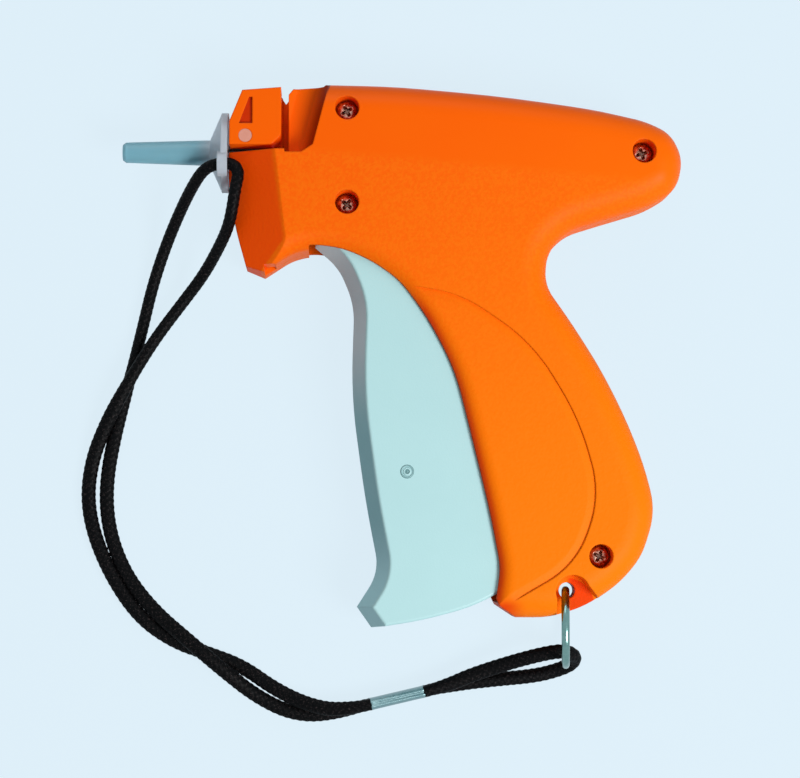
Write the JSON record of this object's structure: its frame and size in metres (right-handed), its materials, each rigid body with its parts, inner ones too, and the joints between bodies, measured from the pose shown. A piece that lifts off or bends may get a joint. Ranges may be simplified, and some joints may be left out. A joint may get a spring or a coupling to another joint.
{
  "type": "garment tag attacher",
  "caption": "Hand-held tagging gun: two-part moulded body, swinging trigger, hollow needle under a cap, sliding needle lock and a corded wrist lanyard.",
  "frame": {"origin": "on the right side face that the gun lies on, under the trigger's pivot screw", "axes": "+X towards the tail, +Y towards the top edge, +Z towards the left side"},
  "size_m": [0.1559, 0.1649, 0.024],
  "materials": {
    "housing_orange": "fine moulded grain, satin",
    "trigger_grey": "satin",
    "guard_clear": "milky translucent",
    "lock_dot_brown": "satin",
    "mechanism_white": "satin",
    "needle_steel": "polished",
    "screw_bronze": "plated, satin",
    "spring_steel": "drawn wire",
    "ring_chrome": "polished",
    "ferrule_aluminium": "crimped, satin",
    "cord_black": "round braid"
  },
  "bodies": {
    "housing": {"left_housing": "housing_orange", "right_housing": "housing_orange", "housing_screws": "screw_bronze", "needle": "needle_steel", "needle_base": "mechanism_white", "drive_lever_axle": "needle_steel", "feed_shaft": "needle_steel", "return_spring": "spring_steel", "lanyard_ferrule": "ferrule_aluminium", "lanyard_short_loop": "cord_black"},
    "trigger": {"trigger": "trigger_grey"},
    "drive_lever": {"drive_lever": "mechanism_white", "drive_pin_upper": "needle_steel", "drive_pin_lower": "needle_steel"},
    "carriage": {"carriage": "mechanism_white", "ejector_rod": "spring_steel"},
    "feed_wheel": {"feed_wheel": "mechanism_white"},
    "feed_lever": {"feed_lever": "mechanism_white", "feed_lever_pin": "needle_steel"},
    "feed_pawl": {"feed_pawl": "spring_steel"},
    "needle_lock": {"needle_lock": "housing_orange", "needle_lock_pin": "lock_dot_brown"},
    "needle_guard": {"needle_guard": "guard_clear", "lanyard_loop": "cord_black"},
    "lanyard_ring": {"lanyard_ring": "ring_chrome"}
  },
  "joints": [
    {"name": "trigger_pivot", "type": "hinge", "parent": "housing", "child": "trigger", "pos_m": [0, 0, 0.012], "axis": [0, 0, 1], "range_deg": [0, 15], "stiffness_Nm_per_rad": 1.2, "springref_deg": -11.46, "deforming": ["return_spring"]},
    {"name": "drive_lever_pivot", "type": "hinge", "parent": "housing", "child": "drive_lever", "pos_m": [0.031, -0.022, 0.012], "axis": [0, 0, 1], "range_deg": [0, 60]},
    {"name": "carriage_slide", "type": "slide", "parent": "housing", "child": "carriage", "axis": [-1, 0, 0], "range_m": [0, 0.037]},
    {"name": "feed_lever_pivot", "type": "hinge", "parent": "housing", "child": "feed_lever", "pos_m": [-0.0098, 0.0046, 0.012], "axis": [0, 0, 1], "range_deg": [-36, 0]},
    {"name": "feed_wheel_spin", "type": "hinge", "parent": "housing", "child": "feed_wheel", "pos_m": [-0.0098, 0.0046, 0.012], "axis": [0, 0, 1], "range_deg": [-36, 0]},
    {"name": "feed_pawl_lift", "type": "hinge", "parent": "feed_lever", "child": "feed_pawl", "pos_m": [-0.0066, -0.00094, 0.012], "axis": [0, 0, 1], "range_deg": [0, 8], "stiffness_Nm_per_rad": 0.0002, "springref_deg": -5.73},
    {"name": "needle_lock_slide", "type": "slide", "parent": "housing", "child": "needle_lock", "axis": [0, 1, 0], "range_m": [0, 0.004]},
    {"name": "needle_guard_slide", "type": "slide", "parent": "housing", "child": "needle_guard", "axis": [-1, 0, 0], "range_m": [0, 0.032], "deforming": ["lanyard_loop"]},
    {"name": "lanyard_ring_swing", "type": "hinge", "parent": "housing", "child": "lanyard_ring", "pos_m": [0.0568, -0.0994, 0.012], "axis": [0, 0, 1], "range_deg": [-6, 0]}
  ],
  "couplings": [
    {"joint": "drive_lever_pivot", "follows": "trigger_pivot", "ratio": 4},
    {"joint": "carriage_slide", "follows": "trigger_pivot", "m_per_rad": 0.14133},
    {"joint": "feed_lever_pivot", "follows": "trigger_pivot", "ratio": -2.4},
    {"joint": "feed_wheel_spin", "follows": "trigger_pivot", "ratio": -2.4}
  ]
}
